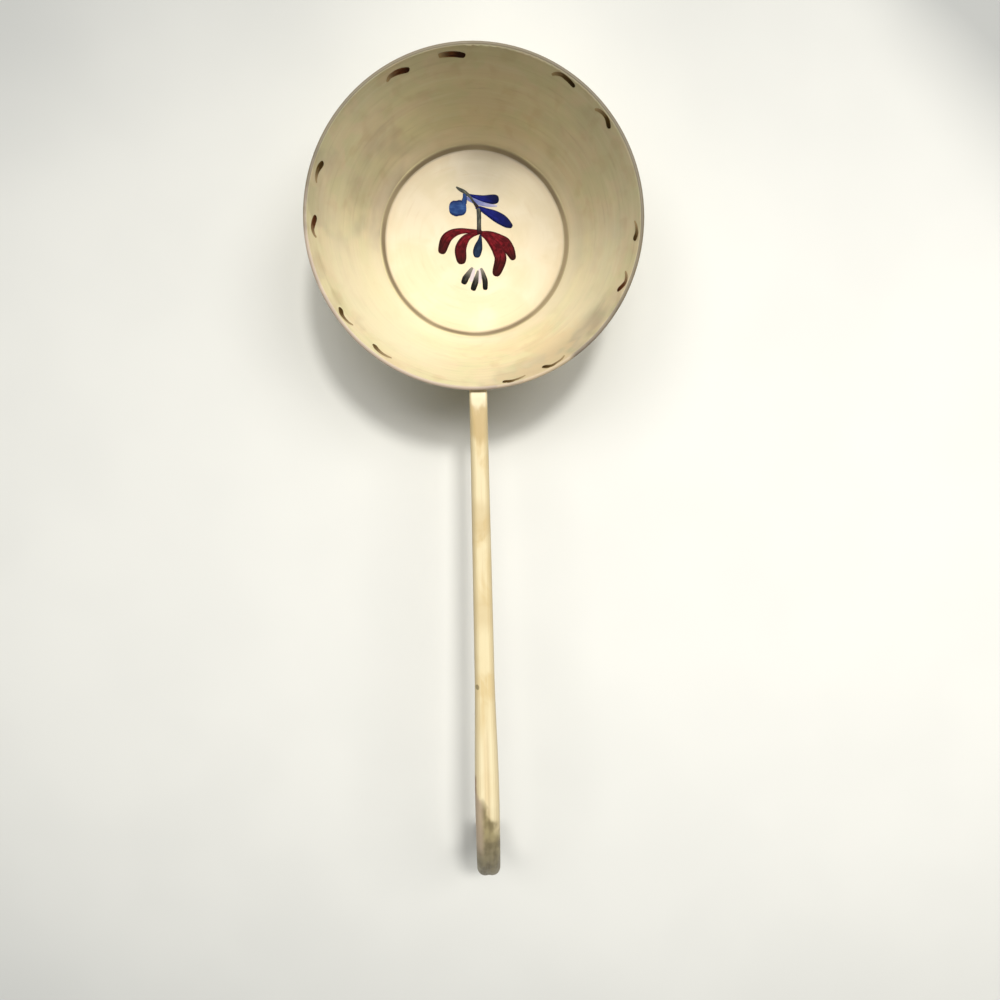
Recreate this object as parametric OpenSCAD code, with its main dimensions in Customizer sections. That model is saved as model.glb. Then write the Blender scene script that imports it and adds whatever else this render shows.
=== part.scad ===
// Painted tin dipper: a flared flat-bottomed bowl with a wired rim,
// carried by one long folded sheet handle that ends in a hook.
// The base stands on z = 0 with its centre at the origin, and the handle runs along -Y.

/* [Bowl] */
// Outside diameter over the rolled rim
rim_d = 150; // [120:1:200]
// Height from the underside of the base to the top of the rim
bowl_h = 58; // [48:1:80]
// Diameter of the flat floor inside
floor_d = 92; // [70:1:105]
// Thickness of the tinned sheet in the wall and the base
sheet_t = 0.5; // [0.4:0.05:0.8]

/* [Rim] */
// Diameter of the wire inside the rolled rim
rim_wire_d = 1; // [0.8:0.1:3]
// Space between the wire and the sheet rolled round it
wire_gap = 0.05; // [0.02:0.01:0.15]
// How far the rolled edge stands proud of the wall inside the bowl
rim_proud = 0.1; // [0.05:0.01:0.3]

/* [Seams] */
// Height of the base's turned-up edge
base_edge_h = 4; // [2:0.5:8]
// Space between the wall and the base's turned-up edge
seam_gap = 0.05; // [0.02:0.01:0.2]
// Width of the lap where the ends of the wall sheet overlap
lap_w = 6; // [3:0.5:12]
// Clear wall between the solder round the handle's foot and the lap
lap_clear = 1.4; // [0.6:0.2:20]
// Reach of the solder over the floor at the foot of the wall
fillet_w = 1.2; // [0.5:0.1:3]
// Reach of the solder up the wall, inside and outside
fillet_h = 2.4; // [1:0.1:5]
// Width of the solder run beside the lap and round the handle's foot
solder_w = 1.6; // [0.8:0.1:3]
// Thickness of the solder on the outside of the wall
solder_t = 0.4; // [0.2:0.05:0.8]

/* [Handle] */
// Width where the handle leaves the bowl
handle_w = 8; // [7:0.1:14]
// Width where the slow taper ends and the flare towards the hook starts
handle_mid_w = 9; // [7:0.1:16]
// Width of the hook
hook_w = 11; // [8:0.1:18]
// Thickness of the handle's sheet
handle_t = 0.9; // [0.6:0.1:1.2]
// Depth of the turned-down edges
edge_h = 3.2; // [2:0.1:5]
// Outside radius of the edge folds at the bowl, which grows with the handle's width
edge_r = 2.7; // [1.4:0.1:3.2]
// Length of the straight run between the bend at the bowl and the hook
handle_len = 180; // [120:1:300]
// Upward slope of the straight run, in degrees
handle_rise = 5.5; // [0:0.1:12]
// Length of the flare before the hook
flare_len = 58; // [20:1:80]
// Length over which the turned-down edges start and end
edge_fade = 26; // [10:1:40]
// Depth of the flute pressed along the start of the hook
flute_depth = 0.4; // [0.1:0.05:1]
// Length over which the flute runs out before the hook points straight down
flute_fade = 34; // [10:1:60]

/* [Foot of the handle] */
// Length of the foot soldered down the wall
foot_len = 22; // [12:1:28]
// Depth below the rolled rim at which the handle bends away from the wall
bend_below_rim = 5.9; // [5:0.1:24]
// Outside radius of the bend at the wall
foot_bend_r = 10; // [6:0.5:14]
// Space between the foot and the wall, filled by a film of solder
foot_gap = 0.05; // [0.02:0.01:0.15]

/* [Hook] */
// Steepest slope of the hook's long curve, in degrees
hook_drop = 85; // [70:1:90]
// Height of the curl's lowest point above the level of the base
hook_clear = 11; // [0:0.5:40]
// Outside radius of the curl at the tip
curl_r = 14; // [8:0.5:18]
// Turn of the curl past the hook's long curve, in degrees
curl_turn = 112; // [95:1:150]
// Length over which the tip is rounded
tip_len = 5; // [3:0.5:8]

/* [Hidden] */

cream = [0.93, 0.87, 0.68];
cream_inside = [0.90, 0.84, 0.64];
tin = [0.72, 0.70, 0.66];
ring_grey = [0.38, 0.34, 0.30];

// Sides of a small circle, and of a turn round the bowl
round_fn = 64;
bowl_fn = 256;

// The rolled rim's section, and the wall that leans out to meet it
floor_r = floor_d / 2;
bead_r = rim_wire_d / 2 + wire_gap + sheet_t;
bead_c = [rim_d / 2 - bead_r, bowl_h - bead_r];
bead_reach = norm([bead_c[0] - floor_r, bead_c[1] - sheet_t]);
wall_lean = atan2(bead_c[0] - floor_r, bead_c[1] - sheet_t)
    - asin((bead_r - rim_proud) / bead_reach);
wall_up = [sin(wall_lean), cos(wall_lean)];
wall_out = [cos(wall_lean), -sin(wall_lean)];
wall_slant = sqrt(pow(bead_reach, 2) - pow(bead_r - rim_proud, 2));
// The roll stops short of the wall by this much of a turn
roll_open = [20, 50];

function wall_inside_r(z) = floor_r + (z - sheet_t) * tan(wall_lean);
function wall_outside_r(z, away = 0) = wall_inside_r(z) + (sheet_t + away) / cos(wall_lean);

// The lap and the solder outside lie between the base's edge and the rim
below_bead = 0.5;
outside_low = base_edge_h + fillet_h;
outside_high = bowl_h - 2 * bead_r - below_bead;
base_chamfer = 0.4;

// Quick turns of the wall's outside, at half its height, for widths along it
mid_r = wall_outside_r(bowl_h / 2);
function turn_for(width) = width / mid_r * 180 / PI;
foot_half_turn = turn_for(handle_w / 2 + solder_w);
lap_start = foot_half_turn + turn_for(lap_clear);

// Lengths along the handle from the end of its foot, measured on its upper face
foot_top_z = bowl_h - 2 * bead_r - bend_below_rim;
foot_turn = 90 - wall_lean - handle_rise;
bend_end = foot_len + foot_bend_r * foot_turn * PI / 180;
straight_end = bend_end + handle_len;
hook_start_z = foot_top_z + foot_bend_r * (cos(handle_rise) - cos(90 - wall_lean))
    + handle_len * sin(handle_rise);
// The long curve's radius brings the curl down to its height above the base
hook_r = (hook_start_z - hook_clear - curl_r * (1 + cos(hook_drop))) / (cos(handle_rise) - cos(hook_drop));
hook_end = straight_end + hook_r * (handle_rise + hook_drop) * PI / 180;
handle_end = hook_end + curl_r * curl_turn * PI / 180;

// Where the handle's upper face runs: distance out from the bowl's axis, height, slope
function go_straight(at, length) =
    [at[0] + length * cos(at[2]), at[1] + length * sin(at[2]), at[2]];
function go_round(at, radius, length) =
    let (slope = at[2] - length / radius * 180 / PI)
    [at[0] + radius * (sin(at[2]) - sin(slope)), at[1] + radius * (cos(slope) - cos(at[2])), slope];

wall_slope = 90 - wall_lean;
foot_top = [wall_outside_r(foot_top_z, foot_gap), foot_top_z, wall_slope];
foot_end = go_straight(foot_top, -foot_len);
bend_top = go_round(foot_top, foot_bend_r, bend_end - foot_len);
hook_start = go_straight(bend_top, handle_len);
curl_start = go_round(hook_start, hook_r, hook_end - straight_end);

function handle_at(s) =
    s <= foot_len ? go_straight(foot_end, s)
    : s <= bend_end ? go_round(foot_top, foot_bend_r, s - foot_len)
    : s <= straight_end ? go_straight(bend_top, s - bend_end)
    : s <= hook_end ? go_round(hook_start, hook_r, s - straight_end)
    : go_round(curl_start, curl_r, s - hook_end);

// How the handle's section changes along its length
flare_start = straight_end - flare_len;
end_narrowing = 0.45;
function ease(x) = x <= 0 ? 0 : x >= 1 ? 1 : x * x * (3 - 2 * x);
function rounded_end(x) = x >= 1 ? 1 : end_narrowing + (1 - end_narrowing) * sqrt(1 - pow(1 - x, 2));
function taper(s) = handle_w + (handle_mid_w - handle_w) * max(0, s - bend_end) / (flare_start - bend_end);
function width_at(s) =
    (s < flare_start ? taper(s)
        : handle_mid_w + (hook_w - handle_mid_w) * ease((s - flare_start) / flare_len))
    * rounded_end(s / tip_len) * rounded_end((handle_end - s) / tip_len);
function edge_at(s) = handle_t + (edge_h - handle_t)
    * min(ease((s - bend_end) / edge_fade), ease((handle_end - s) / edge_fade));
function flute_at(s) = flute_depth
    * min(ease((s - flare_start) / flare_len), ease((hook_end - s) / flute_fade));
// The folds' radius, less where the edges are too shallow to hold the whole of it
fold_limit = 1.3;
least_inside_r = 0.1;
function fold_at(s) = max(handle_t + least_inside_r,
    min(edge_r * width_at(s) / handle_w, fold_limit * edge_at(s)));

// The section: an upper face with a flute, folded edges, and the same face again underneath
fold_steps = [15 : 15 : 90];
flute_steps = [-1, -2/3, -1/3, 0, 1/3, 2/3, 1];
flute_share = 0.8;
function upper_half(w, edge, r) = concat(
    [[-w, -edge]],
    [for (a = fold_steps) [-w + r * (1 - cos(a)), r * (sin(a) - 1)]]);
function lower_half(w, edge, r) = concat(
    [[-w + handle_t, -edge]],
    [for (a = fold_steps) [-w + r - (r - handle_t) * cos(a), max(-edge, (r - handle_t) * sin(a) - r)]]);
function flute(w, r, depth, drop) =
    [for (k = flute_steps) [k * flute_share * (w - r), -drop - depth * (1 + cos(180 * k)) / 2]];
function mirrored(points) = [for (i = [len(points) - 1 : -1 : 0]) [-points[i][0], points[i][1]]];
function reversed(points) = [for (i = [len(points) - 1 : -1 : 0]) points[i]];
function section(w, edge, r, depth) =
    let (above = concat(upper_half(w, edge, r), flute(w, r, depth, 0), mirrored(upper_half(w, edge, r))),
         below = concat(lower_half(w, edge, r), flute(w, r, depth, handle_t),
             mirrored(lower_half(w, edge, r))))
    concat(above, reversed(below));

// A section's points in space, square to the handle where it stands
function ring_at(s) =
    let (at = handle_at(s))
    [for (p = section(width_at(s) / 2, edge_at(s), fold_at(s), flute_at(s)))
        [p[0], -(at[0] - p[1] * sin(at[2])), at[1] + p[1] * cos(at[2])]];

// Places along the handle that get a section, closer together where the shape changes
function spread(from, to, count) = [for (i = [0 : count - 1]) from + (to - from) * i / count];
handle_places = concat(
    spread(0, tip_len, 4),
    spread(tip_len, foot_len, 2),
    spread(foot_len, bend_end, 9),
    spread(bend_end, bend_end + edge_fade, 6),
    spread(bend_end + edge_fade, flare_start, 3),
    spread(flare_start, straight_end, 10),
    spread(straight_end, hook_end, 18),
    spread(hook_end, handle_end - tip_len, 8),
    spread(handle_end - tip_len, handle_end, 4),
    [handle_end]);

// The wall's section: a leaning strip with its upper edge rolled round the wire
module wall_section() {
    foot_in = [floor_r, sheet_t];
    top_in = foot_in + wall_slant * wall_up;
    polygon([
        foot_in,
        [wall_outside_r(sheet_t), sheet_t],
        top_in + sheet_t * wall_out,
        top_in
    ]);
    translate(bead_c) difference() {
        circle(r = bead_r, $fn = round_fn);
        circle(r = bead_r - sheet_t, $fn = round_fn);
        rotate(180 - wall_lean) polygon([
            [0, 0],
            2 * bead_r * [cos(roll_open[0]), sin(roll_open[0])],
            2 * bead_r * [cos(roll_open[1]), sin(roll_open[1])]
        ]);
    }
}

// A layer on the outside of the wall, between two heights
module outside_layer(low, high, from, to) {
    polygon([
        [wall_outside_r(low, from), low],
        [wall_outside_r(low, to), low],
        [wall_outside_r(high, to), high],
        [wall_outside_r(high, from), high]
    ]);
}

// Turns a layer through part of a circle, counted from the handle's side towards +X
module part_turn(start, turn) {
    rotate([0, 0, start - 90]) rotate_extrude(angle = turn, $fn = bowl_fn) children();
}

module bowl_wall() {
    color(cream) {
        rotate_extrude($fn = bowl_fn) wall_section();
        part_turn(lap_start, turn_for(lap_w))
            outside_layer(outside_low, outside_high, -sheet_t / 2, sheet_t);
    }
}

module rim_wire() {
    color(tin) rotate_extrude($fn = bowl_fn)
        translate(bead_c) circle(d = rim_wire_d, $fn = round_fn);
}

module bottom_disc() {
    edge_in = sheet_t + seam_gap;
    color(cream_inside) rotate_extrude($fn = bowl_fn) polygon([
        [0, 0],
        [wall_outside_r(0, edge_in) - base_chamfer, 0],
        [wall_outside_r(base_chamfer, edge_in), base_chamfer],
        [wall_outside_r(base_edge_h, edge_in), base_edge_h],
        [wall_outside_r(base_edge_h, seam_gap), base_edge_h],
        [wall_outside_r(sheet_t, seam_gap), sheet_t],
        [0, sheet_t]
    ]);
}

// Solder inside along the foot of the wall, and outside above the base's edge
module bottom_solder() {
    color(ring_grey) rotate_extrude($fn = bowl_fn) {
        polygon([
            [floor_r - fillet_w, sheet_t],
            [floor_r, sheet_t],
            [wall_inside_r(sheet_t + fillet_h), sheet_t + fillet_h]
        ]);
        polygon([
            [wall_outside_r(base_edge_h), base_edge_h],
            [wall_outside_r(base_edge_h, sheet_t + seam_gap), base_edge_h],
            [wall_outside_r(outside_low), outside_low]
        ]);
    }
}

// Solder run along the lap's free edge
module side_solder() {
    color(tin) part_turn(lap_start + turn_for(lap_w), turn_for(solder_w))
        outside_layer(outside_low, outside_high, 0, solder_t);
}

// Closes one end of the handle between the section's upper face and its lower face
function end_faces(base, count) =
    [for (i = [0 : count / 2 - 2])
        let (a = base + i, b = a + 1, d = base + count - 1 - i, c = d - 1)
        each i < count / 4 - 1 ? [[a, b, d], [b, c, d]] : [[a, b, c], [a, c, d]]];

// The handle, folded from one strip: foot, bend, straight run, hook and curled tip
module handle() {
    rings = [for (s = handle_places) ring_at(s)];
    count = len(rings[0]);
    last = len(rings) - 1;
    points = [for (ring = rings) for (p = ring) p];
    sides = [for (i = [0 : last - 1]) for (j = [0 : count - 1])
        let (k = (j + 1) % count)
        each [
            [i * count + j, i * count + k, (i + 1) * count + k],
            [i * count + j, (i + 1) * count + k, (i + 1) * count + j]
        ]];
    foot_cap = [for (f = end_faces(0, count)) reversed(f)];
    tip_cap = end_faces(last * count, count);
    color(cream) polyhedron(points = points, faces = concat(foot_cap, sides, tip_cap));
}

// Solder round the handle's foot, cut to the foot's own outline
module handle_solder() {
    low = foot_end[1];
    color(tin) difference() {
        part_turn(-foot_half_turn, 2 * foot_half_turn)
            outside_layer(low - solder_w, foot_top_z, 0, solder_t);
        translate([0, -foot_end[0], low]) rotate([wall_lean, 0, 0])
            translate([-handle_w / 2, -2 * handle_t, 0])
            cube([handle_w, 4 * handle_t, 2 * foot_len]);
    }
}

bowl_wall();
rim_wire();
bottom_disc();
bottom_solder();
side_solder();
handle();
handle_solder();
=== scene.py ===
import math
import random

import bpy
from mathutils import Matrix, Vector


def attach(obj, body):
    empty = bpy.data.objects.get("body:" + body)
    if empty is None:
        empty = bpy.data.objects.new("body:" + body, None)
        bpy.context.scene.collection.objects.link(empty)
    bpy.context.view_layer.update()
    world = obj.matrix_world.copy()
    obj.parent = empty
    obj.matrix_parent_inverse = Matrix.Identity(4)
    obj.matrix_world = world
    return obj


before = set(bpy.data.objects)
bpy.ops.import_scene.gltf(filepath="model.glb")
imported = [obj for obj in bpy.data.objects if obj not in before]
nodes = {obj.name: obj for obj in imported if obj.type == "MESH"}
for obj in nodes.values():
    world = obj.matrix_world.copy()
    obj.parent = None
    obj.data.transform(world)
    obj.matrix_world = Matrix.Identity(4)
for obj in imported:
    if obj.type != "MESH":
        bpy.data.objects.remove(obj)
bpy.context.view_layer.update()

MM = 0.001

# The bowl as the CAD model has it, in millimetres: the floor's edge, the sheet, the wall's lean
FLOOR_R = 46.0
SHEET = 0.5
LEAN = math.radians(25.48)
RIM_R = 75.0
RIM_TOP = 58.0
# The rolled rim lies outside this radius
BEAD_IN = 73.1

# The photograph's camera
CAMERA_AT = (-0.1, -84.6, 473.3)
CAMERA_TURN = (-5.45, -1.33, -1.16)
SENSOR = 36.0
FOCAL_SHARE = 0.924


def srgb(r, g, b):
    """A colour given in steps of 255 as a viewer reads it, turned to linear light."""
    out = []
    for v in (r, g, b):
        v /= 255
        out.append(v / 12.92 if v <= 0.04045 else ((v + 0.055) / 1.055) ** 2.4)
    return (*out, 1.0)


class Paint:
    """A material built from nodes, with one Principled shader."""

    def __init__(self, name):
        self.mat = bpy.data.materials.new(name)
        self.mat.use_nodes = True
        self.tree = self.mat.node_tree
        self.tree.nodes.clear()
        self.shader = self.add("ShaderNodeBsdfPrincipled")
        out = self.add("ShaderNodeOutputMaterial")
        self.tree.links.new(self.shader.outputs[0], out.inputs["Surface"])

    def add(self, kind, **settings):
        node = self.tree.nodes.new(kind)
        for key, value in settings.items():
            setattr(node, key, value)
        return node

    def put(self, socket, value):
        if isinstance(value, bpy.types.NodeSocket):
            self.tree.links.new(value, socket)
        elif value is not None:
            socket.default_value = value

    def math(self, operation, a, b=None, c=None):
        node = self.add("ShaderNodeMath", operation=operation)
        for socket, value in zip(node.inputs, (a, b, c)):
            self.put(socket, value)
        return node.outputs[0]

    def span(self, value, low, high, to_low=0.0, to_high=1.0):
        """Maps a value's span smoothly to another, clamped."""
        node = self.add("ShaderNodeMapRange", interpolation_type="SMOOTHSTEP")
        for socket, v in zip(node.inputs, (value, low, high, to_low, to_high)):
            self.put(socket, v)
        return node.outputs[0]

    def vector(self, x, y, z):
        node = self.add("ShaderNodeCombineXYZ")
        for socket, value in zip(node.inputs, (x, y, z)):
            self.put(socket, value)
        return node.outputs[0]

    def noise(self, vector, scale=1.0, detail=3.0, rough=0.5, twist=0.0):
        node = self.add("ShaderNodeTexNoise")
        self.put(node.inputs["Vector"], vector)
        self.put(node.inputs["Scale"], scale)
        self.put(node.inputs["Detail"], detail)
        self.put(node.inputs["Roughness"], rough)
        self.put(node.inputs["Distortion"], twist)
        return node.outputs["Fac"]

    def mix(self, share, a, b, blend="MIX"):
        node = self.add("ShaderNodeMix", data_type="RGBA", blend_type=blend)
        self.put(node.inputs[0], share)
        self.put(node.inputs[6], a)
        self.put(node.inputs[7], b)
        return node.outputs[2]

    def place(self):
        """The point's place in millimetres: x, y, z, and its distance from the bowl's axis."""
        at = self.add("ShaderNodeTexCoord").outputs["Object"]
        split = self.add("ShaderNodeSeparateXYZ")
        self.put(split.inputs[0], at)
        x, y, z = (self.math("MULTIPLY", s, 1 / MM) for s in split.outputs)
        reach = self.math("SQRT", self.math("ADD", self.math("MULTIPLY", x, x), self.math("MULTIPLY", y, y)))
        return x, y, z, reach

    def round_streaks(self, x, y, across, reach, turns=2.4, fine=1.0, detail=4.0):
        """Noise drawn out round the bowl's axis, like the marks of a brush led round it."""
        safe = self.math("MAXIMUM", reach, 0.5)
        return self.noise(self.vector(
            self.math("MULTIPLY", self.math("DIVIDE", x, safe), turns),
            self.math("MULTIPLY", self.math("DIVIDE", y, safe), turns),
            self.math("MULTIPLY", across, fine)), 1.0, detail, 0.6)

    def bump(self, height, strength, distance, under=None):
        node = self.add("ShaderNodeBump")
        self.put(node.inputs["Strength"], strength)
        self.put(node.inputs["Distance"], distance * MM)
        self.put(node.inputs["Height"], height)
        if under is not None:
            self.put(node.inputs["Normal"], under)
        return node.outputs["Normal"]

    def finish(self, colour, rough, normal=None, **constants):
        self.put(self.shader.inputs["Base Color"], colour)
        self.put(self.shader.inputs["Roughness"], rough)
        self.put(self.shader.inputs["Normal"], normal)
        for name, value in constants.items():
            self.put(self.shader.inputs[name.replace("_", " ")], value)
        return self.mat


CREAM = srgb(239, 227, 183)
CREAM_DEEP = srgb(230, 209, 159)
CREAM_OLIVE = srgb(227, 218, 173)
CREAM_PINK = srgb(236, 218, 179)
CREAM_PALE_AND_LIGHT = srgb(246, 237, 205)
CREAM_LOW = srgb(240, 226, 203)
FLOOR = srgb(229, 212, 175)
FLOOR_PALE = srgb(236, 221, 190)
FLOOR_OLIVE = srgb(222, 208, 168)
HANDLE = srgb(231, 213, 167)
HANDLE_DEEP = srgb(222, 199, 147)
HANDLE_PALE_AND_LIGHT = srgb(240, 227, 188)
HANDLE_EDGE_SHADE = srgb(208, 188, 144)
HANDLE_GOLD = srgb(194, 166, 110)
TAN_AND_SHADE = srgb(206, 172, 121)
GRIME_AND_SHADE = srgb(150, 130, 92)
RIM_SHADE = srgb(141, 127, 99)
RIM_LIT_PINK = srgb(198, 178, 156)
RIM_SHADE_RIGHT = srgb(124, 110, 84)
RING_DARK = srgb(118, 102, 80)
RING_LIGHT = srgb(150, 134, 108)
WORN_TIN = srgb(158, 144, 103)
WORN_DARK = srgb(118, 105, 70)
WORN_PINK_LIGHT = srgb(186, 165, 142)
HOOK_END_SHADE = (0.60, 0.62, 0.70, 1.0)
RUST = srgb(128, 88, 62)
# Old grease dulls and greys the bowl's far side, together with painted shade there, seen as what it leaves of the
# colour
FILM_AND_SHADE = (0.80, 0.83, 0.90, 1.0)
FLOOR_SHADE = (0.62, 0.62, 0.62, 1.0)
SEAM_TURN = math.radians(-83.5)
STAIN_AND_SHADE = (0.62, 0.62, 0.66, 1.0)
# Stains and painted shade on the wall: direction and half width in degrees, lowest and highest place, strength
STAINS_AND_SHADE = [
    (150, 34, -20, 34, 0.42),
    (158, 34, -20, 80, 0.30),
    (18, 42, 6, 56, 0.34),
    (75, 95, 10, 36, 0.16),
    (301, 32, 41, 80, 0.92),
    (165, 16, 47, 80, 0.35),
    (210, 16, 47, 80, 0.30),
]
# Where the wall is painted paler, as painted light on its lit lower sides, and where it is warmer beside the lap
LIT_AREAS = [(217, 56, -20, 46, 0.6), (335, 34, -20, 44, 0.45)]
WARM_AREA = (294, 20, 20, 80, 0.6)
WARM = srgb(232, 208, 166)


def film_and_shade_over(p, x, y, z, colour, most):
    # Greyer towards the far side and the right: grease, with painted shade
    cloud = p.noise(p.vector(x, y, z), 0.045, 3.0, 0.5, 0.3)
    far = p.math("ADD", p.math("MULTIPLY", y, 0.8), p.math("MULTIPLY", x, 0.34))
    share = p.span(p.math("ADD", far, p.span(cloud, 0.3, 0.7, -14.0, 14.0)), -46.0, 56.0, 0.0, most)
    return p.mix(share, colour, FILM_AND_SHADE, "MULTIPLY")


def area(p, x, y, z, reach, turn, half, low, high, strength):
    """How much a soft-edged area of the wall covers a point."""
    a = math.radians(turn)
    along = p.math("ADD", p.math("MULTIPLY", x, math.cos(a)), p.math("MULTIPLY", y, math.sin(a)))
    cloud = p.noise(p.vector(x, y, z), 0.06, 2.0, 0.5, 0.3)
    facing = p.math("ADD", p.math("DIVIDE", along, p.math("MAXIMUM", reach, 1.0)), p.span(cloud, 0.3, 0.7, -0.05, 0.05))
    share = p.span(facing, math.cos(math.radians(half)), 1.0)
    share = p.math("MULTIPLY", share, p.span(z, low - 7.0, low + 7.0))
    share = p.math("MULTIPLY", share, p.span(z, high + 7.0, high - 7.0))
    return p.math("MULTIPLY", share, strength)


def crease(p, x, y, reach):
    """The dark line round the floor's crease: how much of it covers a point, and its colour there."""
    slow = p.noise(p.vector(x, y, 0.0), 0.035, 2.0, 0.4)
    centre = p.math("ADD", p.span(slow, 0.3, 0.7, -0.2, 0.2), FLOOR_R - 0.3)
    off = p.math("ABSOLUTE", p.math("SUBTRACT", reach, centre))
    width = p.span(p.noise(p.vector(x, y, 7.0), 0.03, 2.0, 0.4), 0.35, 0.65, 0.95, 1.25)
    line = p.math("MULTIPLY", p.span(p.math("DIVIDE", off, width), 1.8, 0.3), 0.94)
    dark = p.mix(p.span(slow, 0.35, 0.65), RING_DARK, RING_LIGHT)
    # The line is greyed on the far side: grease, with painted shade
    return line, p.mix(p.span(y, -20.0, 44.0, 0.0, 0.6), dark, FILM_AND_SHADE, "MULTIPLY")


def cream_wall():
    p = Paint("cream_wall")
    x, y, z, reach = p.place()
    streaks = p.round_streaks(x, y, z, reach, 2.2, 0.55, 3.0)
    bands = p.round_streaks(x, y, z, reach, 1.0, 0.14, 2.0)
    patches = p.noise(p.vector(x, y, z), 0.075, 3.0, 0.55, 0.4)
    colour = p.mix(p.span(patches, 0.36, 0.62), CREAM_OLIVE, CREAM_PINK)
    colour = p.mix(p.span(bands, 0.42, 0.66, 0.0, 0.55), colour, CREAM)
    colour = p.mix(p.span(streaks, 0.48, 0.74, 0.0, 0.32), colour, CREAM_PALE_AND_LIGHT)
    colour = p.mix(p.span(streaks, 0.46, 0.26, 0.0, 0.16), colour, GRIME_AND_SHADE)
    blots = p.noise(p.vector(x, y, z), 0.12, 2.0, 0.4, 0.3)
    colour = p.mix(p.span(blots, 0.50, 0.72, 0.0, 0.22), colour, TAN_AND_SHADE)
    colour = p.mix(p.span(z, 17.0, 7.0, 0.0, 0.45), colour, CREAM_LOW)
    # Darker towards the crease with the floor
    colour = p.mix(p.span(z, 6.5, 1.5, 0.0, 0.22), colour, GRIME_AND_SHADE)
    # Paler on the lower left and lower right: painted light
    for pale in LIT_AREAS:
        colour = p.mix(area(p, x, y, z, reach, *pale), colour, CREAM_PALE_AND_LIGHT)
    # The rolled rim: painted shade on its far side and on its right, painted light, pinkish, on its near side towards
    # the handle
    rim_cloud = p.noise(p.vector(x, y, z), 0.10, 3.0, 0.5)
    side = p.math("ADD", y, p.math("MULTIPLY", x, 0.3))
    side = p.span(p.math("ADD", side, p.span(rim_cloud, 0.3, 0.7, -16.0, 16.0)), 10.0, -44.0)
    rim = p.mix(side, RIM_SHADE, RIM_LIT_PINK)
    rim = p.mix(p.span(x, 15.0, 45.0, 0.0, 0.7), rim, RIM_SHADE_RIGHT)
    colour = p.mix(p.span(reach, BEAD_IN, BEAD_IN + 0.5), colour, rim)
    colour = film_and_shade_over(p, x, y, z, colour, 0.85)
    # Darker areas of the wall: stains, with painted shade
    for stain_and_shade in STAINS_AND_SHADE:
        colour = p.mix(area(p, x, y, z, reach, *stain_and_shade), colour, STAIN_AND_SHADE, "MULTIPLY")
    line, dark = crease(p, x, y, reach)
    colour = p.mix(p.math("MULTIPLY", line, p.span(z, 2.2, 1.0)), colour, dark)
    # The lap's edge shows through the paint as a faint step, with warmer paint beside it
    across = p.math("ADD", p.math("MULTIPLY", x, math.cos(SEAM_TURN + math.pi / 2)),
                    p.math("MULTIPLY", y, math.sin(SEAM_TURN + math.pi / 2)))
    along = p.math("ADD", p.math("MULTIPLY", x, math.cos(SEAM_TURN)), p.math("MULTIPLY", y, math.sin(SEAM_TURN)))
    step = p.math("MULTIPLY", p.span(along, 0.0, 5.0), p.span(across, -0.3, 0.3))
    warm = p.math("MULTIPLY", area(p, x, y, z, reach, *WARM_AREA), p.span(across, -0.8, 0.8))
    colour = p.mix(warm, colour, WARM)
    normal = p.bump(step, 0.4, 0.08)
    normal = p.bump(streaks, 0.22, 0.10, normal)
    normal = p.bump(p.noise(p.vector(x, y, z), 1.1, 2.0), 0.12, 0.05, normal)
    return p.finish(colour, p.span(streaks, 0.3, 0.7, 0.38, 0.50), normal, Specular_IOR_Level=0.45)


# Painted shadow of the far rim on the floor's far side: centre, radius, strength
FLOOR_FAR_SHADOW = (6.0, 38.0, 26.0, 0.80)


def cream_floor():
    p = Paint("cream_floor")
    x, y, z, reach = p.place()
    streaks = p.round_streaks(x, y, reach, reach, 1.4, 0.5, 3.0)
    bands = p.round_streaks(x, y, reach, reach, 0.9, 0.12, 2.0)
    patches = p.noise(p.vector(x, y, z), 0.05, 3.0, 0.55, 0.5)
    colour = p.mix(p.span(patches, 0.38, 0.64), FLOOR, FLOOR_PALE)
    colour = p.mix(p.span(bands, 0.50, 0.74, 0.0, 0.45), colour, FLOOR_OLIVE)
    colour = p.mix(p.span(streaks, 0.50, 0.74, 0.0, 0.35), colour, FLOOR_PALE)
    colour = p.mix(p.span(streaks, 0.44, 0.26, 0.0, 0.18), colour, TAN_AND_SHADE)
    colour = p.mix(p.span(reach, FLOOR_R - 6.0, FLOOR_R - 1.5, 0.0, 0.20), colour, TAN_AND_SHADE)
    # Darker on the floor's far side and on its right: painted shade
    far = p.math("ADD", y, p.math("MULTIPLY", x, 0.12))
    colour = p.mix(p.span(far, -18.0, 33.0, 0.0, 0.64), colour, FLOOR_SHADE, "MULTIPLY")
    colour = p.mix(p.span(x, 8.0, 48.0, 0.0, 0.36), colour, FLOOR_SHADE, "MULTIPLY")
    # Painted shadow of the far rim
    dx, dy = p.math("SUBTRACT", x, FLOOR_FAR_SHADOW[0]), p.math("SUBTRACT", y, FLOOR_FAR_SHADOW[1])
    away = p.math("SQRT", p.math("ADD", p.math("MULTIPLY", dx, dx), p.math("MULTIPLY", dy, dy)))
    colour = p.mix(p.span(away, FLOOR_FAR_SHADOW[2], 2.0, 0.0, FLOOR_FAR_SHADOW[3]), colour, FLOOR_SHADE, "MULTIPLY")
    line, dark = crease(p, x, y, reach)
    colour = p.mix(p.math("MULTIPLY", line, p.span(reach, 46.9, 46.5)), colour, dark)
    normal = p.bump(streaks, 0.25, 0.08)
    normal = p.bump(p.noise(p.vector(x, y, z), 1.0, 2.0), 0.12, 0.05, normal)
    return p.finish(colour, p.span(streaks, 0.3, 0.7, 0.36, 0.48), normal, Specular_IOR_Level=0.45)


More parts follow.
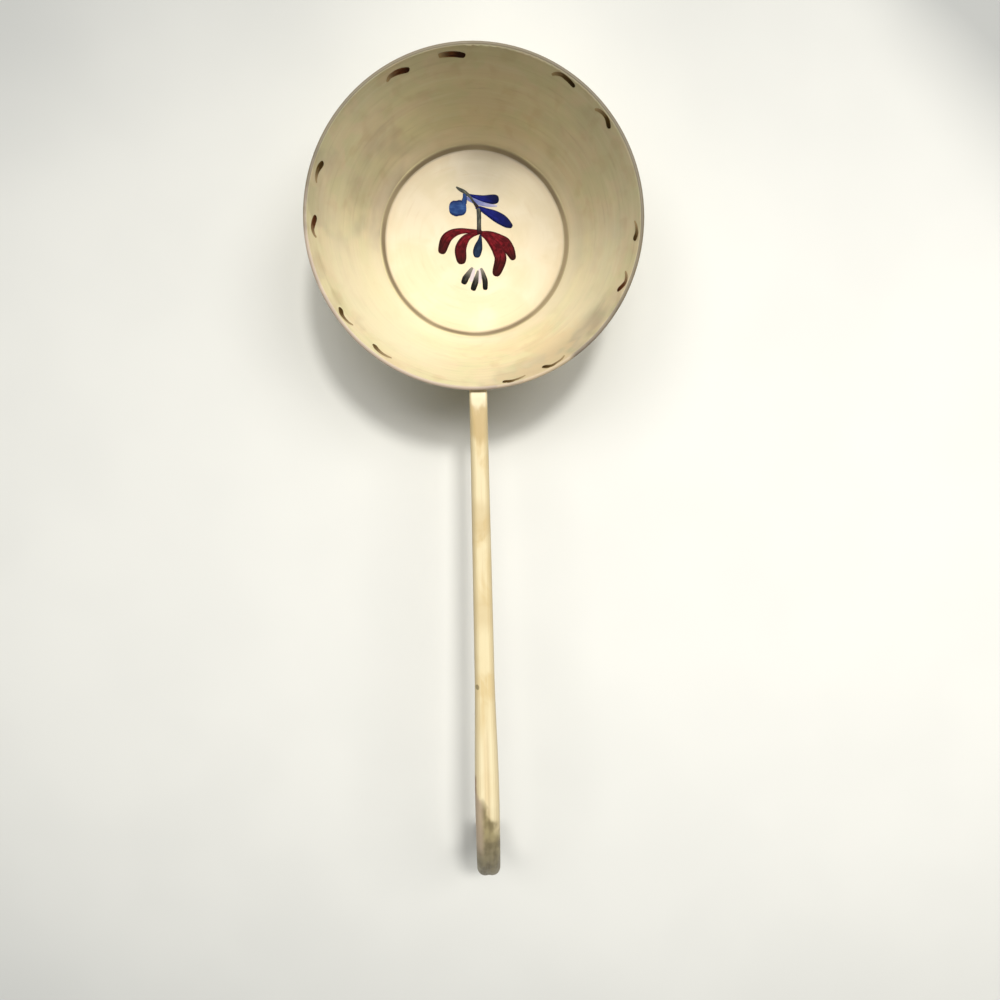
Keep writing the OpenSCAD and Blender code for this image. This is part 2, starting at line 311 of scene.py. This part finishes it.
def ring_line():
    """Solder in the crease, cream like the rest, with a dark line along it."""
    p = Paint("ring_line")
    x, y, z, reach = p.place()
    line, dark = crease(p, x, y, reach)
    line = p.math("MULTIPLY", line, p.span(z, 4.6, 3.6))
    # Greyed on the far side: grease, with painted shade
    colour = p.mix(line, film_and_shade_over(p, x, y, z, CREAM, 0.8), dark)
    normal = p.bump(p.noise(p.vector(x, y, z), 0.3, 2.0), 0.2, 0.1)
    return p.finish(colour, 0.45, normal, Specular_IOR_Level=0.4)


# Where the hook's paint is worn through: its edge slants across the strip at this place along it
WORN_FROM = 264.5
WORN_SLANT = 1.6
# Golden bands across the strip: place along it, half length, strength
GOLD_BANDS = [(-134.0, 10.0, 0.4), (-175.0, 13.0, 0.3)]
# A chip on the strip's left edge
CHIP = (-3.5, -208.0)


def handle_paint():
    p = Paint("cream_handle")
    x, y, z, reach = p.place()
    # Brush marks run along the strip
    streaks = p.noise(p.vector(p.math("MULTIPLY", x, 1.1), p.math("MULTIPLY", y, 0.035),
                               p.math("MULTIPLY", z, 0.2)), 1.0, 3.0, 0.55)
    patches = p.noise(p.vector(p.math("MULTIPLY", x, 0.09), p.math("MULTIPLY", y, 0.045), 2.0), 1.0, 3.0, 0.55, 0.6)
    colour = p.mix(p.span(patches, 0.36, 0.62), HANDLE, HANDLE_DEEP)
    colour = p.mix(p.span(patches, 0.64, 0.46, 0.0, 0.35), colour, HANDLE_PALE_AND_LIGHT)
    colour = p.mix(p.span(streaks, 0.52, 0.76, 0.0, 0.35), colour, HANDLE_PALE_AND_LIGHT)
    colour = p.mix(p.span(streaks, 0.46, 0.28, 0.0, 0.18), colour, TAN_AND_SHADE)
    # Near the bowl it is paler, painted light where the rim's shadow falls, then golden
    near_bowl = p.math("ADD", y, p.span(patches, 0.3, 0.7, -3.0, 3.0))
    colour = p.mix(p.span(near_bowl, -86.0, -80.0, 0.0, 0.8), colour, HANDLE_PALE_AND_LIGHT)
    gold = p.math("MULTIPLY", p.span(near_bowl, -99.0, -94.0), p.span(near_bowl, -79.0, -85.0))
    colour = p.mix(p.math("MULTIPLY", gold, 0.88), colour, HANDLE_GOLD)
    for middle, half, strength in GOLD_BANDS:
        away = p.math("ABSOLUTE", p.math("SUBTRACT", near_bowl, middle))
        colour = p.mix(p.span(away, half, half * 0.3, 0.0, strength), colour, HANDLE_GOLD)
    # Tan along the flute's valley is painted shade; towards the hook the strip is painted paler, as painted light
    fluted = p.math("MULTIPLY", p.span(y, -218.0, -236.0), p.span(p.math("ABSOLUTE", x), 2.2, 0.6))
    colour = p.mix(p.span(near_bowl, -220.0, -236.0, 0.0, 0.7), colour, HANDLE_PALE_AND_LIGHT)
    colour = p.mix(p.math("MULTIPLY", fluted, 0.30), colour, TAN_AND_SHADE)
    # Darker on the turned-down edges, by how far they tilt: painted shade, with grime
    tilt = p.add("ShaderNodeSeparateXYZ")
    p.put(tilt.inputs[0], p.add("ShaderNodeNewGeometry").outputs["Normal"])
    side = p.math("ABSOLUTE", tilt.outputs[0])
    colour = p.mix(p.span(side, 0.14, 0.62, 0.0, 0.6), colour, HANDLE_EDGE_SHADE)
    colour = p.mix(p.span(side, 0.75, 1.0, 0.0, 0.25), colour, GRIME_AND_SHADE)
    # Hands and hanging have worn the hook down to dull metal, up to a slanting edge
    ragged = p.noise(p.vector(p.math("MULTIPLY", x, 0.26), p.math("MULTIPLY", y, 0.14), 5.0), 1.0, 2.0, 0.4)
    reached = p.math("ADD", p.math("ADD", p.math("MULTIPLY", y, -1.0), p.math("MULTIPLY", x, -WORN_SLANT)),
                     p.span(ragged, 0.25, 0.75, -3.0, 3.0))
    worn = p.span(reached, WORN_FROM - 4.0, WORN_FROM + 5.0)
    metal = p.mix(p.span(ragged, 0.35, 0.65), WORN_TIN, WORN_DARK)
    # Darker towards the end where the hook turns down: painted shade, with wear. Pinker on its left side: painted light
    metal = p.mix(p.span(y, -272.0, -292.0, 0.0, 0.85), metal, HOOK_END_SHADE, "MULTIPLY")
    metal = p.mix(p.math("MULTIPLY", p.span(x, -1.0, -3.6, 0.0, 0.8), p.span(y, -292.0, -280.0)), metal, WORN_PINK_LIGHT)
    edge = p.math("MULTIPLY", p.span(reached, WORN_FROM - 9.0, WORN_FROM - 5.0), p.span(x, -4.2, -5.4))
    colour = p.mix(p.math("MULTIPLY", edge, 0.8), colour, RUST)
    colour = p.mix(p.math("MULTIPLY", worn, 0.94), colour, metal)
    # A few small chips, and one larger one
    chips = p.noise(p.vector(p.math("MULTIPLY", x, 0.6), p.math("MULTIPLY", y, 0.35), p.math("MULTIPLY", z, 0.6)), 1.0, 2.0)
    colour = p.mix(p.span(chips, 0.79, 0.81, 0.0, 0.8), colour, WORN_DARK)
    cx = p.math("DIVIDE", p.math("SUBTRACT", x, CHIP[0]), 0.9)
    cy = p.math("DIVIDE", p.math("SUBTRACT", y, CHIP[1]), 1.2)
    round_chip = p.math("ADD", p.math("ADD", p.math("MULTIPLY", cx, cx), p.math("MULTIPLY", cy, cy)),
                        p.span(ragged, 0.3, 0.7, -0.5, 0.5))
    colour = p.mix(p.span(round_chip, 1.3, 0.5, 0.0, 0.75), colour, WORN_DARK)
    normal = p.bump(streaks, 0.25, 0.10)
    normal = p.bump(p.noise(p.vector(x, y, z), 0.8, 3.0), 0.15, 0.08, normal)
    rough = p.math("ADD", p.span(streaks, 0.3, 0.7, 0.36, 0.48), p.math("MULTIPLY", worn, 0.06))
    return p.finish(colour, rough, normal, Specular_IOR_Level=0.45)


def solder_paint():
    p = Paint("painted_solder")
    x, y, z, reach = p.place()
    lumps = p.noise(p.vector(x, y, z), 0.25, 3.0, 0.5, 0.5)
    colour = p.mix(p.span(lumps, 0.30, 0.70), CREAM_OLIVE, CREAM_DEEP)
    # Greyed on the far side: grease, with painted shade
    colour = film_and_shade_over(p, x, y, z, colour, 0.85)
    return p.finish(colour, 0.45, p.bump(lumps, 0.4, 0.25), Specular_IOR_Level=0.45)


def wire_metal():
    p = Paint("tinned_wire")
    x, y, z, reach = p.place()
    drawn = p.round_streaks(x, y, z, reach, 3.0, 4.0)
    colour = p.mix(drawn, srgb(170, 166, 158), srgb(206, 202, 194))
    return p.finish(colour, p.span(drawn, 0.3, 0.7, 0.28, 0.42), p.bump(drawn, 0.2, 0.04), Metallic=1.0)


STROKE_THIN = srgb(192, 168, 128)
DROP_THIN = srgb(158, 152, 140)
FILL_THIN = srgb(200, 192, 212)


def brush_paint(name, dark, light, edge, head=None, thin=0.0, bared=STROKE_THIN):
    """Paint laid in one stroke: streaks along it, darker where it gathered at the edges and the head."""
    p = Paint(name)
    mark = p.add("ShaderNodeSeparateXYZ")
    p.put(mark.inputs[0], p.add("ShaderNodeAttribute", attribute_name="stroke").outputs["Vector"])
    along, across, load = mark.outputs
    streaks = p.noise(p.vector(p.math("MULTIPLY", along, 0.20), p.math("MULTIPLY", across, 5.0), 0.0), 1.0, 3.0, 0.6)
    pools = p.noise(p.vector(p.math("MULTIPLY", along, 0.35), p.math("MULTIPLY", across, 1.2), 4.0), 1.0, 2.0)
    rim = p.math("ABSOLUTE", p.math("SUBTRACT", p.math("MULTIPLY", across, 2.0), 1.0))
    body = p.math("ADD", p.math("MULTIPLY", streaks, 0.6), p.math("MULTIPLY", pools, 0.4))
    colour = p.mix(p.span(body, 0.40, 0.64), dark, light)
    colour = p.mix(p.span(rim, 0.45, 1.0, 0.0, 0.9), colour, edge)
    if head is not None:
        colour = p.mix(p.span(load, 0.55, 1.0, 0.0, 0.9), colour, head)
    if thin:
        # A dry brush leaves less and less paint towards the tail
        bare = p.math("ADD", p.span(load, 0.66, 0.0, 0.0, thin), p.span(streaks, 0.5, 0.75, 0.0, 0.25))
        bare = p.math("MINIMUM", p.math("MULTIPLY", bare, p.span(load, 0.85, 0.5)), 1.0)
        colour = p.mix(bare, colour, bared)
    return p.finish(colour, 0.55, p.bump(streaks, 0.4, 0.05), Specular_IOR_Level=0.06)


# Strokes of the brush: a smooth line through places in millimetres, with the stroke's width at each
ALONG, ACROSS = 36, 10
EDGE_LIFT, CROWN_LIFT = 0.03, 0.13


def smooth(values, t):
    """A smooth curve through evenly spaced values, at t from 0 to 1."""
    last = len(values) - 1
    k = min(int(t * last), last - 1)
    f = t * last - k
    a, b, c, d = (values[min(max(k + i, 0), last)] for i in (-1, 0, 1, 2))
    return b + f * (c - a + f * (2 * a - 5 * b + 4 * c - d + f * (3 * (b - c) + d - a))) / 2


def stroke_grid(line, place, chance, lift=0.0, full=1.0, round_from=1.0, round_to=1.0):
    """One stroke's vertices, faces and marks: place along it, place across it, load of paint."""
    xs, ys, ws = zip(*line)
    spots = [(smooth(xs, i / 200), smooth(ys, i / 200)) for i in range(201)]
    length = sum(math.dist(a, b) for a, b in zip(spots, spots[1:]))
    wobble = [chance.uniform(-1, 1) for _ in range(8)]
    verts, marks = [], []
    for i in range(ALONG + 1):
        t = i / ALONG
        # Samples gather at both ends, where the outline turns
        t = t - math.sin(2 * math.pi * t) / (2 * math.pi) * 0.6
        x, y = smooth(xs, t), smooth(ys, t)
        e = 0.004
        dx = smooth(xs, min(t + e, 1)) - smooth(xs, max(t - e, 0))
        dy = smooth(ys, min(t + e, 1)) - smooth(ys, max(t - e, 0))
        size = math.hypot(dx, dy) or 1.0
        w = max(smooth(ws, t), 0.05)
        for share, gap in ((round_from, t * length), (round_to, (1 - t) * length)):
            cap = share * w / 2
            if cap > 0 and gap < cap:
                w *= math.sqrt(max(1 - (1 - gap / cap) ** 2, 0.0)) * 0.98 + 0.02
        for j in range(ACROSS + 1):
            v = j / ACROSS * 2 - 1
            rough = 1 + 0.05 * smooth(wobble, t) * v
            px = x - dy / size * v * w / 2 * rough
            py = y + dx / size * v * w / 2 * rough
            high = EDGE_LIFT + (CROWN_LIFT - EDGE_LIFT) * (1 - v * v) * min(1.0, w)
            verts.append(place(px, py, high + lift))
            marks.append((t * length, (v + 1) / 2, t * full))
    faces = []
    for i in range(ALONG):
        for j in range(ACROSS):
            a = i * (ACROSS + 1) + j
            faces.append((a, a + ACROSS + 1, a + ACROSS + 2, a + 1))
    return verts, faces, marks


def on_floor(x, y, high):
    return Vector((x, y, SHEET + high)) * MM


def on_wall(turn, height):
    """A place function for strokes on the wall: x runs clockwise round it, y up it."""
    slant0 = (height - SHEET) / math.cos(LEAN)
    r0 = FLOOR_R + slant0 * math.sin(LEAN)

    def place(x, y, high):
        slant = slant0 + y
        r = FLOOR_R + slant * math.sin(LEAN) - (high + 0.06) * math.cos(LEAN)
        z = SHEET + slant * math.cos(LEAN) + (high + 0.06) * math.sin(LEAN)
        angle = turn - x / r0
        return Vector((r * math.cos(angle), r * math.sin(angle), z)) * MM
    return place


def piece(name, grids, material):
    verts, faces, marks = [], [], []
    for v, f, m in grids:
        base = len(verts)
        verts += v
        marks += m
        faces += [tuple(base + k for k in face) for face in f]
    mesh = bpy.data.meshes.new(name)
    mesh.from_pydata(verts, [], faces)
    layer = mesh.attributes.new("stroke", "FLOAT_VECTOR", "POINT")
    for k, mark in enumerate(marks):
        layer.data[k].vector = mark
    mesh.shade_smooth()
    mesh.materials.append(material)
    obj = bpy.data.objects.new(name, mesh)
    bpy.context.scene.collection.objects.link(obj)
    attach(obj, "root")
    return obj


# The comma strokes under the rim, of two browns: degrees round the bowl, height, load of paint, red or umber,
# and the line (x, y, width)
RIM_STROKES = [
    (116.5, 52.5, 1.0, "red", [(-6.2, -0.6, 1.2), (-4.4, 0.9, 2.2), (-1.5, 1.2, 3.0), (2.0, 0.5, 3.2),
                               (5.0, -0.7, 2.8)]),
    (96.7, 53.1, 1.3, "red", [(-5.8, 0.9, 2.4), (-3.5, 1.0, 3.0), (0.0, 0.6, 3.2), (3.3, -0.2, 3.2),
                              (6.0, -0.9, 2.6)]),
    (55.4, 54.0, 0.9, "umber", [(-6.0, -0.8, 1.1), (-4.4, 1.0, 1.9), (-2.2, 2.1, 2.3), (0.8, 2.0, 2.5),
                                (5.4, 0.8, 2.3)]),
    (36.2, 54.0, 0.9, "umber", [(-5.8, -0.2, 1.1), (-3.8, 1.5, 1.9), (-1.0, 2.3, 2.2), (1.4, 2.0, 2.7),
                                (4.6, -0.2, 2.6)]),
    (-5.4, 54.0, 0.8, "umber", [(-5.4, -0.4, 0.8), (-3.2, 0.9, 1.5), (-1.0, 1.5, 2.1), (1.2, 1.4, 2.9),
                                (3.4, 0.2, 3.1)]),
    (-23.4, 53.7, 0.8, "red", [(-5.4, -0.8, 0.9), (-3.6, 1.0, 1.7), (-1.2, 2.3, 2.3), (0.8, 2.0, 2.8),
                               (4.0, -1.0, 2.8)]),
    (-61.0, 54.1, 0.75, "umber", [(-5.0, 0.4, 0.9), (-3.2, 1.9, 1.6), (0.0, 2.7, 2.1), (3.2, 2.3, 2.7),
                                  (5.9, -0.9, 2.6)]),
    (-77.0, 54.2, 0.8, "umber", [(-5.4, 0.8, 0.8), (-3.3, 1.7, 1.6), (-0.5, 2.4, 2.2), (2.2, 2.6, 2.9),
                                 (5.2, 1.3, 3.0)]),
    (-127.0, 53.1, 0.64, "umber", [(-5.2, 0.1, 1.2), (-3.0, 1.2, 2.1), (0.0, 1.6, 2.7), (2.6, 1.0, 3.0),
                                   (4.9, -0.7, 2.4)]),
    (-144.8, 53.7, 0.8, "umber", [(-4.8, -0.4, 1.0), (-3.0, 1.2, 1.8), (-0.4, 2.0, 2.3), (2.0, 1.6, 2.9),
                                  (4.7, -0.7, 2.8)]),
    (-179.1, 52.3, 0.85, "red", [(-5.0, -0.2, 1.0), (-3.6, 1.4, 1.8), (-1.4, 2.0, 2.5), (1.0, 1.2, 3.0),
                                 (4.6, -0.9, 3.0)]),
    (161.9, 53.6, 0.9, "umber", [(-5.2, -0.2, 0.8), (-3.2, 0.8, 1.7), (-0.6, 1.0, 2.5), (1.8, 0.4, 3.1),
                                 (4.5, -0.9, 2.6)]),
]


def rim_strokes(chance):
    paints = {
        "red": brush_paint("stroke_red", srgb(58, 22, 4), srgb(104, 56, 24), srgb(118, 76, 44), srgb(28, 6, 0), 0.85),
        "umber": brush_paint("stroke_umber", srgb(52, 34, 8), srgb(98, 74, 34), srgb(118, 94, 54), srgb(30, 18, 0), 0.85),
    }
    grids = {name: [] for name in paints}
    for turn, height, full, paint, line in RIM_STROKES:
        place = on_wall(math.radians(turn), height)
        grids[paint].append(stroke_grid(line, place, chance, full=full, round_from=0.6))
    for name, material in paints.items():
        piece("rim_strokes_" + name, grids[name], material)


# The flower on the floor: strokes through (x, y, width)
PETALS = [
    [(2.7, 5.1, 1.7), (-2.3, 5.4, 2.2), (-7.3, 5.4, 3.1), (-11.6, 4.0, 4.5), (-14.9, 0.7, 5.3), (-17.0, -5.6, 3.9)],
    [(2.4, 4.6, 1.7), (-1.3, 3.5, 2.4), (-4.4, 1.7, 4.1), (-6.6, -1.6, 5.4), (-7.3, -5.3, 5.8), (-6.6, -10.8, 4.6)],
    [(3.2, 4.6, 1.7), (7.7, 3.7, 3.0), (11.6, 1.6, 5.0), (15.0, -1.0, 6.2), (17.4, -4.3, 5.2), (19.3, -9.2, 2.6)],
    [(2.9, 4.4, 1.7), (6.4, 1.9, 3.0), (9.7, -1.4, 5.0), (11.9, -5.1, 5.9), (12.5, -9.5, 5.9), (9.8, -17.0, 4.2)],
]
ROUND_LEAF = [
    [(-4.6, 24.0, 1.7), (-4.5, 21.5, 2.2), (-5.4, 18.4, 3.4)],
    [(-12.5, 16.7, 7.7), (-3.8, 16.6, 7.7)],
]
LEAVES = [
    [(-3.4, 23.2, 1.0), (-1.9, 22.9, 1.2), (1.6, 21.8, 2.4), (5.0, 21.0, 3.7), (9.0, 20.8, 4.7), (12.5, 20.8, 4.4)],
    [(0.7, 17.0, 1.7), (2.9, 16.5, 2.1), (5.9, 15.0, 3.3), (9.9, 13.0, 5.0), (13.6, 10.8, 5.4), (16.8, 8.5, 4.0),
     (18.8, 7.0, 1.5)],
]
PALE_FILL = [[(11.6, 17.4, 0.7), (7.8, 17.9, 1.8), (4.0, 18.9, 2.8), (0.4, 20.2, 3.2), (-3.4, 22.0, 2.8)]]
KNOT = [[(1.1, 4.9, 2.2), (3.9, 4.6, 2.2)]]
STEM = [
    [(-8.7, 27.0, 0.7), (-6.8, 25.7, 1.6), (-4.6, 24.4, 1.8), (-2.2, 22.4, 1.3), (0.0, 19.3, 1.2), (1.9, 16.6, 2.0)],
    [(2.2, 16.6, 2.2), (2.4, 12.2, 2.2), (2.3, 8.3, 2.1), (2.3, 4.4, 2.4)],
]
HEART = [[(2.9, 3.5, 1.0), (2.6, 1.0, 2.1), (1.6, -2.5, 4.2), (1.0, -5.4, 4.2), (0.9, -7.7, 2.5)]]
LOW_DROPS = [
    [(-1.3, -12.5, 1.3), (-3.5, -15.4, 2.6), (-5.3, -18.3, 3.3), (-6.4, -20.6, 2.5)],
    [(1.3, -14.0, 1.1), (0.6, -17.2, 2.2), (-0.5, -20.6, 3.0), (-1.6, -23.9, 2.6)],
    [(2.7, -12.8, 1.2), (3.7, -15.5, 2.1), (4.7, -19.2, 2.7), (4.7, -23.7, 2.4)],
]
LOW_PALE = [
    [(-0.7, -13.0, 1.4), (-1.6, -16.2, 2.2), (-2.4, -19.6, 1.4)],
    [(1.9, -13.2, 1.2), (2.2, -16.6, 2.0), (2.0, -20.6, 1.2)],
]


def flower(chance):
    def strokes(lines, lift=0.0, **ends):
        return [stroke_grid(line, on_floor, chance, lift, **ends) for line in lines]

    red = brush_paint("petal_red", srgb(70, 4, 10), srgb(134, 25, 36), srgb(46, 4, 8), srgb(34, 8, 2))
    blue = brush_paint("leaf_blue", srgb(10, 16, 84), srgb(26, 34, 122), srgb(2, 6, 42), srgb(4, 6, 30))
    soft = brush_paint("round_leaf_blue", srgb(32, 58, 112), srgb(60, 92, 144), srgb(8, 16, 62))
    pale = brush_paint("leaf_pale", srgb(98, 106, 162), srgb(130, 138, 184), srgb(104, 112, 164), None, 0.6, FILL_THIN)
    stem = brush_paint("stem_grey", srgb(54, 58, 56), srgb(110, 110, 96), srgb(14, 16, 26), srgb(34, 12, 18))
    heart = brush_paint("heart_blue", srgb(16, 30, 54), srgb(38, 56, 84), srgb(6, 10, 26))
    low = brush_paint("drop_black", srgb(10, 9, 8), srgb(52, 50, 42), srgb(26, 24, 20), srgb(0, 0, 0), 0.7, DROP_THIN)
    white = brush_paint("low_pale", srgb(212, 198, 204), srgb(222, 212, 214), srgb(214, 202, 198))
    dark = brush_paint("knot_dark", srgb(40, 4, 10), srgb(62, 12, 18), srgb(30, 4, 8))
    piece("flower_pale_fill", strokes(PALE_FILL), pale)
    piece("flower_round_leaf", strokes(ROUND_LEAF, 0.03), soft)
    piece("flower_leaves", strokes(LEAVES, 0.04), blue)
    piece("flower_petals", strokes(PETALS, 0.02), red)
    piece("flower_stem", strokes(STEM, 0.08), stem)
    piece("flower_knot", strokes(KNOT, 0.12), dark)
    piece("flower_heart", strokes(HEART, 0.06), heart)
    piece("flower_low_pale", strokes(LOW_PALE), white)
    piece("flower_low_drops", strokes(LOW_DROPS, 0.03), low)


# The table's painted light and shade, as a share of its palest: a smooth drift over its place in tenths of a metre, and
# spots, dimmer and brighter
TABLE_LIGHT_DRIFT = (0.964, 0.043, -0.079, -0.008, 0.0, -0.030)
TABLE_LIGHT_SPOTS = [(-250, 130, 130, 0.10), (10, 120, 110, -0.12)]
# Painted shade in the far right corner: it dims towards this direction, over these distances, by this much
TABLE_SHADED_CORNER = (0.8, 0.6, 206.0, 296.0, 0.46)
TABLE_LIGHT = srgb(248, 247, 240)
TABLE_SHADED = srgb(188, 189, 186)
DIM_SHARE, LIGHT_SHARE = 0.6, 1.1


def table_top():
    """Pale table with painted light and shade: its tone drifts slowly from place to place."""
    p = Paint("pale_table")
    x, y, z, reach = p.place()
    tx, ty = p.math("MULTIPLY", x, 0.01), p.math("MULTIPLY", y, 0.01)
    terms = (tx, ty, p.math("MULTIPLY", tx, tx), p.math("MULTIPLY", tx, ty), p.math("MULTIPLY", ty, ty))
    tone = p.math("ADD", TABLE_LIGHT_DRIFT[0], 0.0)
    for term, share in zip(terms, TABLE_LIGHT_DRIFT[1:]):
        tone = p.math("MULTIPLY_ADD", term, share, tone)
    for sx, sy, size, depth in TABLE_LIGHT_SPOTS:
        dx, dy = p.math("SUBTRACT", x, sx), p.math("SUBTRACT", y, sy)
        away = p.math("SQRT", p.math("ADD", p.math("MULTIPLY", dx, dx), p.math("MULTIPLY", dy, dy)))
        tone = p.math("SUBTRACT", tone, p.span(away, size, 0.0, 0.0, depth))
    cx, cy, start, end, depth = TABLE_SHADED_CORNER
    corner = p.math("ADD", p.math("MULTIPLY", x, cx), p.math("MULTIPLY", y, cy))
    tone = p.math("SUBTRACT", tone, p.span(corner, start, end, 0.0, depth))
    cloud = p.noise(p.vector(x, y, z), 0.012, 2.0, 0.5)
    tone = p.math("ADD", tone, p.span(cloud, 0.3, 0.7, -0.015, 0.015))
    share = p.math("DIVIDE", p.math("SUBTRACT", tone, DIM_SHARE), LIGHT_SHARE - DIM_SHARE)
    colour = p.mix(p.math("MINIMUM", p.math("MAXIMUM", share, 0.0), 1.0), TABLE_SHADED, TABLE_LIGHT)
    return p.finish(colour, 0.6, p.bump(p.noise(p.vector(x, y, z), 0.4, 3.0), 0.05, 0.05), Specular_IOR_Level=0.2)


TABLE_HALF = 12.0


def table():
    mesh = bpy.data.meshes.new("table_top")
    s = TABLE_HALF
    mesh.from_pydata([(-s, -s, 0), (s, -s, 0), (s, s, 0), (-s, s, 0)], [], [(0, 1, 2, 3)])
    mesh.materials.append(table_top())
    obj = bpy.data.objects.new("table_top", mesh)
    obj.location.z = -0.02 * MM
    bpy.context.scene.collection.objects.link(obj)


# Soft distant lamps: tilt from straight up, direction round the bowl (+X is 0), spread, strength
LAMPS = [
    (28, 71, 8, 1.33),
    (24, 92, 24, 0.84),
    (38, 135, 24, 0.68),
    (38, 36, 28, 1.02),
]
WORLD_LIGHT = 0.08
WORLD_COLOUR = (0.88, 0.95, 1.0, 1.0)
LAMP_COLOUR = (1.0, 0.985, 0.955)


def lights():
    for k, (tilt, turn, spread, strength) in enumerate(LAMPS):
        lamp = bpy.data.lights.new("lamp_%d" % k, "SUN")
        lamp.energy = strength
        lamp.angle = math.radians(spread)
        lamp.color = LAMP_COLOUR
        obj = bpy.data.objects.new("lamp_%d" % k, lamp)
        t, a = math.radians(tilt), math.radians(turn)
        aim = Vector((math.sin(t) * math.cos(a), math.sin(t) * math.sin(a), math.cos(t)))
        obj.rotation_euler = aim.to_track_quat("Z", "Y").to_euler()
        bpy.context.scene.collection.objects.link(obj)
    world = bpy.data.worlds.new("world")
    bpy.context.scene.world = world
    world.use_nodes = True
    tree = world.node_tree
    ground = tree.nodes["Background"]
    path = tree.nodes.new("ShaderNodeLightPath")
    seen = path.outputs["Is Camera Ray"]
    for kind in ("Is Glossy Ray", "Is Transmission Ray"):
        either = tree.nodes.new("ShaderNodeMath")
        either.operation = "MAXIMUM"
        tree.links.new(seen, either.inputs[0])
        tree.links.new(path.outputs[kind], either.inputs[1])
        seen = either.outputs[0]
    hue = tree.nodes.new("ShaderNodeMix")
    hue.data_type = "RGBA"
    hue.inputs[6].default_value = WORLD_COLOUR
    hue.inputs[7].default_value = (1, 1, 1, 1)
    tree.links.new(seen, hue.inputs[0])
    tree.links.new(hue.outputs[2], ground.inputs["Color"])
    level = tree.nodes.new("ShaderNodeMapRange")
    tree.links.new(seen, level.inputs[0])
    level.inputs[3].default_value = WORLD_LIGHT
    level.inputs[4].default_value = 1.0
    tree.links.new(level.outputs[0], ground.inputs["Strength"])


def camera():
    data = bpy.data.cameras.new("camera")
    data.sensor_width = SENSOR
    data.lens = SENSOR * FOCAL_SHARE
    obj = bpy.data.objects.new("camera", data)
    obj.location = [v * MM for v in CAMERA_AT]
    obj.rotation_euler = [math.radians(v) for v in CAMERA_TURN]
    bpy.context.scene.collection.objects.link(obj)
    bpy.context.scene.camera = obj
    bpy.context.scene.view_settings.view_transform = "Standard"


def dress(name, material):
    mesh = nodes[name].data
    mesh.materials.clear()
    mesh.materials.append(material)


camera()
dress("bowl_wall", cream_wall())
dress("bottom_disc", cream_floor())
dress("bottom_solder", ring_line())
dress("rim_wire", wire_metal())
dress("handle", handle_paint())
solder = solder_paint()
dress("side_solder", solder)
dress("handle_solder", solder)
chance = random.Random(7)
rim_strokes(chance)
flower(chance)
table()
lights()
